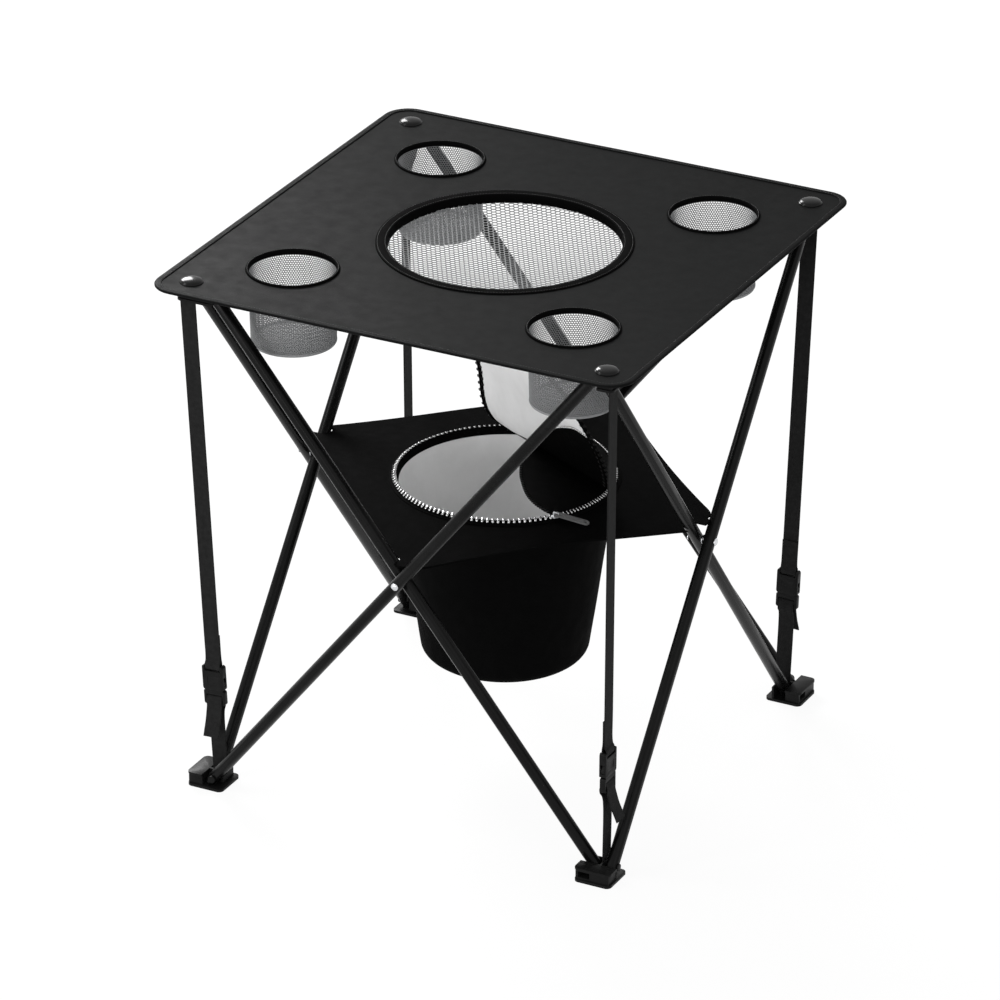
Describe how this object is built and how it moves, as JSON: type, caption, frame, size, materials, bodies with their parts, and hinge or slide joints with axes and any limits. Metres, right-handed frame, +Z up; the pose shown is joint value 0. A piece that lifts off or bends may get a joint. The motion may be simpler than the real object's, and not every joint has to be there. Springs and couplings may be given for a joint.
{
  "type": "folding camping table",
  "caption": "Folding camping table with a scissor frame of crossed tubes, a fabric top with mesh cup holders and a net, and a hanging shelf with a round zipped cooler.",
  "frame": {"origin": "on the floor under the middle of the table", "axes": "+Z up, -Y towards the front side, +X towards the front right corner's side"},
  "size_m": [0.575, 0.575, 0.6143],
  "materials": {
    "top_fabric": "fine woven polyester with a slight sheen",
    "net": "open knitted mesh",
    "tube_paint": "gloss powder coat",
    "plastic": "semi-gloss moulded plastic",
    "cap_plastic": "polished",
    "rivet": "plated steel",
    "webbing": "ribbed webbing",
    "bag_fabric": "woven polyester over foam",
    "liner": "smooth white film",
    "zip": "zip tape and moulded teeth",
    "slider_metal": "plated",
    "pull_plastic": "satin"
  },
  "bodies": {
    "shelf": {"shelf_panel": "top_fabric", "cooler_shell": "bag_fabric", "cooler_liner": "liner", "rim_zip": "zip", "lid_seam_panel": "top_fabric"},
    "loop_front": {"shelf_loop_front": "webbing"},
    "loop_right": {"shelf_loop_right": "webbing"},
    "loop_back": {"shelf_loop_back": "webbing"},
    "loop_left": {"shelf_loop_left": "webbing"},
    "outer_front": {"outer_tube_front": "tube_paint", "pivot_rivet_front": "rivet"},
    "outer_right": {"outer_tube_right": "tube_paint", "pivot_rivet_right": "rivet"},
    "outer_back": {"outer_tube_back": "tube_paint", "pivot_rivet_back": "rivet"},
    "outer_left": {"outer_tube_left": "tube_paint", "pivot_rivet_left": "rivet"},
    "inner_front": {"inner_tube_front": "tube_paint"},
    "inner_right": {"inner_tube_right": "tube_paint"},
    "inner_back": {"inner_tube_back": "tube_paint"},
    "inner_left": {"inner_tube_left": "tube_paint"},
    "foot_front_left": {"foot_front_left": "plastic", "lower_strap_front_left": "webbing", "buckle_plug_front_left": "plastic"},
    "foot_front_right": {"foot_front_right": "plastic", "lower_strap_front_right": "webbing", "buckle_plug_front_right": "plastic"},
    "foot_back_right": {"foot_back_right": "plastic", "lower_strap_back_right": "webbing", "buckle_plug_back_right": "plastic"},
    "foot_back_left": {"foot_back_left": "plastic", "lower_strap_back_left": "webbing", "buckle_plug_back_left": "plastic"},
    "top_front_left": {"top_bracket_front_left": "plastic", "cap_front_left": "cap_plastic", "upper_strap_front_left": "webbing", "buckle_socket_front_left": "plastic", "cup_front_left": "net"},
    "top_front_right": {"top_bracket_front_right": "plastic", "cap_front_right": "cap_plastic", "upper_strap_front_right": "webbing", "buckle_socket_front_right": "plastic", "cup_front_right": "net"},
    "top_back_right": {"top_bracket_back_right": "plastic", "cap_back_right": "cap_plastic", "upper_strap_back_right": "webbing", "buckle_socket_back_right": "plastic", "cup_back_right": "net"},
    "top_back_left": {"top_bracket_back_left": "plastic", "cap_back_left": "cap_plastic", "upper_strap_back_left": "webbing", "buckle_socket_back_left": "plastic", "cup_back_left": "net"},
    "top_sheet": {"top_panel": "top_fabric", "centre_net": "net"},
    "hem_back": {"hem_back": "top_fabric"},
    "lid": {"lid_shell": "top_fabric", "lid_lining": "liner"},
    "slider": {"zip_slider": "slider_metal"},
    "pull": {"slider_pull": "pull_plastic"}
  },
  "joints": [
    {"name": "shelf_lift", "type": "slide", "parent": "shelf", "child": "loop_front", "axis": [0, 0.9237, 0.3832], "range_m": [0, 0.20681]},
    {"name": "frame_fold", "type": "hinge", "parent": "loop_front", "child": "outer_front", "pos_m": [0, -0.2517, 0.3041], "axis": [0, -1, 0], "range_deg": [0, 32.15], "deforming": ["top_panel", "hem_back", "centre_net", "cup_front_left", "cup_front_right", "cup_back_right", "cup_back_left", "shelf_panel", "cooler_shell", "cooler_liner", "rim_zip", "lid_seam_panel", "lid_shell", "lid_lining", "upper_strap_front_left", "lower_strap_front_left", "buckle_plug_front_left", "upper_strap_front_right", "lower_strap_front_right", "buckle_plug_front_right", "upper_strap_back_right", "lower_strap_back_right", "buckle_plug_back_right", "upper_strap_back_left", "lower_strap_back_left", "buckle_plug_back_left"]},
    {"name": "cross_front", "type": "hinge", "parent": "outer_front", "child": "inner_front", "pos_m": [0, -0.2367, 0.3041], "axis": [0, -1, 0], "range_deg": [-64.3, 0]},
    {"name": "foot_front_left_pin", "type": "hinge", "parent": "outer_front", "child": "foot_front_left", "pos_m": [-0.233, -0.2517, 0.0123], "axis": [0, -1, 0], "range_deg": [-32.15, 0]},
    {"name": "top_front_right_pin", "type": "hinge", "parent": "outer_front", "child": "top_front_right", "pos_m": [0.233, -0.2517, 0.5959], "axis": [0, -1, 0], "range_deg": [-32.15, 0]},
    {"name": "foot_front_right_pin", "type": "hinge", "parent": "inner_front", "child": "foot_front_right", "pos_m": [0.233, -0.2367, 0.0123], "axis": [0, -1, 0], "range_deg": [0, 32.15]},
    {"name": "top_front_left_pin", "type": "hinge", "parent": "inner_front", "child": "top_front_left", "pos_m": [-0.233, -0.2367, 0.5959], "axis": [0, -1, 0], "range_deg": [0, 32.15]},
    {"name": "inner_right_top_pin", "type": "hinge", "parent": "top_front_right", "child": "inner_right", "pos_m": [0.2367, -0.233, 0.5959], "axis": [1, 0, 0], "range_deg": [-32.15, 0]},
    {"name": "cross_right", "type": "hinge", "parent": "inner_right", "child": "outer_right", "pos_m": [0.2517, 0, 0.3041], "axis": [1, 0, 0], "range_deg": [0, 64.3]},
    {"name": "foot_back_right_pin", "type": "hinge", "parent": "inner_right", "child": "foot_back_right", "pos_m": [0.2367, 0.233, 0.0123], "axis": [1, 0, 0], "range_deg": [0, 32.15]},
    {"name": "top_back_right_pin", "type": "hinge", "parent": "outer_right", "child": "top_back_right", "pos_m": [0.2517, 0.233, 0.5959], "axis": [1, 0, 0], "range_deg": [-32.15, 0]},
    {"name": "loop_right_turn", "type": "hinge", "parent": "outer_right", "child": "loop_right", "pos_m": [0.2517, 0, 0.3041], "axis": [1, 0, 0], "range_deg": [-32.15, 0]},
    {"name": "outer_left_top_pin", "type": "hinge", "parent": "top_front_left", "child": "outer_left", "pos_m": [-0.2517, -0.233, 0.5959], "axis": [-1, 0, 0], "range_deg": [0, 32.15]},
    {"name": "cross_left", "type": "hinge", "parent": "outer_left", "child": "inner_left", "pos_m": [-0.2367, 0, 0.3041], "axis": [-1, 0, 0], "range_deg": [-64.3, 0]},
    {"name": "foot_back_left_pin", "type": "hinge", "parent": "outer_left", "child": "foot_back_left", "pos_m": [-0.2517, 0.233, 0.0123], "axis": [-1, 0, 0], "range_deg": [-32.15, 0]},
    {"name": "top_back_left_pin", "type": "hinge", "parent": "inner_left", "child": "top_back_left", "pos_m": [-0.2367, 0.233, 0.5959], "axis": [-1, 0, 0], "range_deg": [0, 32.15]},
    {"name": "loop_left_turn", "type": "hinge", "parent": "outer_left", "child": "loop_left", "pos_m": [-0.2517, 0, 0.3041], "axis": [-1, 0, 0], "range_deg": [-32.15, 0]},
    {"name": "outer_back_top_pin", "type": "hinge", "parent": "top_back_left", "child": "outer_back", "pos_m": [-0.233, 0.2517, 0.5959], "axis": [0, 1, 0], "range_deg": [0, 32.15]},
    {"name": "cross_back", "type": "hinge", "parent": "outer_back", "child": "inner_back", "pos_m": [0, 0.2367, 0.3041], "axis": [0, 1, 0], "range_deg": [-64.3, 0]},
    {"name": "loop_back_turn", "type": "hinge", "parent": "outer_back", "child": "loop_back", "pos_m": [0, 0.2517, 0.3041], "axis": [0, 1, 0], "range_deg": [-32.15, 0]},
    {"name": "top_front_fold", "type": "hinge", "parent": "top_front_left", "child": "top_sheet", "pos_m": [0, -0.241, 0.6092], "axis": [-1, 0, 0], "range_deg": [0, 78.3]},
    {"name": "top_back_fold", "type": "hinge", "parent": "top_back_left", "child": "hem_back", "pos_m": [0, 0.241, 0.6092], "axis": [1, 0, 0], "range_deg": [0, 78.3]},
    {"name": "lid_fold", "type": "hinge", "parent": "shelf", "child": "lid", "pos_m": [0.03286, 0.06181, 0.32872], "axis": [-0.8829, 0.4695, 0], "range_deg": [-65, 55]},
    {"name": "slider_run", "type": "hinge", "parent": "shelf", "child": "slider", "pos_m": [0, 0, 0.32722], "axis": [0, 0, 1], "range_deg": [-208, 36]},
    {"name": "pull_swing", "type": "hinge", "parent": "slider", "child": "pull", "pos_m": [0.1008, -0.07324, 0.33422], "axis": [0.1392, -0.9903, 0], "range_deg": [0, 150]}
  ],
  "couplings": [
    {"joint": "shelf_lift", "follows": "frame_fold", "m_per_rad": 0.36853},
    {"joint": "cross_front", "follows": "frame_fold", "ratio": -2},
    {"joint": "foot_front_left_pin", "follows": "frame_fold", "ratio": -1},
    {"joint": "top_front_right_pin", "follows": "frame_fold", "ratio": -1},
    {"joint": "foot_front_right_pin", "follows": "frame_fold", "ratio": 1},
    {"joint": "top_front_left_pin", "follows": "frame_fold", "ratio": 1},
    {"joint": "inner_right_top_pin", "follows": "frame_fold", "ratio": -1},
    {"joint": "cross_right", "follows": "frame_fold", "ratio": 2},
    {"joint": "foot_back_right_pin", "follows": "frame_fold", "ratio": 1},
    {"joint": "top_back_right_pin", "follows": "frame_fold", "ratio": -1},
    {"joint": "loop_right_turn", "follows": "frame_fold", "ratio": -1},
    {"joint": "outer_left_top_pin", "follows": "frame_fold", "ratio": 1},
    {"joint": "cross_left", "follows": "frame_fold", "ratio": -2},
    {"joint": "foot_back_left_pin", "follows": "frame_fold", "ratio": -1},
    {"joint": "top_back_left_pin", "follows": "frame_fold", "ratio": 1},
    {"joint": "loop_left_turn", "follows": "frame_fold", "ratio": -1},
    {"joint": "outer_back_top_pin", "follows": "frame_fold", "ratio": 1},
    {"joint": "cross_back", "follows": "frame_fold", "ratio": -2},
    {"joint": "loop_back_turn", "follows": "frame_fold", "ratio": -1},
    {"joint": "top_front_fold", "follows": "frame_fold", "ratio": 2.4355},
    {"joint": "top_back_fold", "follows": "frame_fold", "ratio": 2.4355}
  ]
}
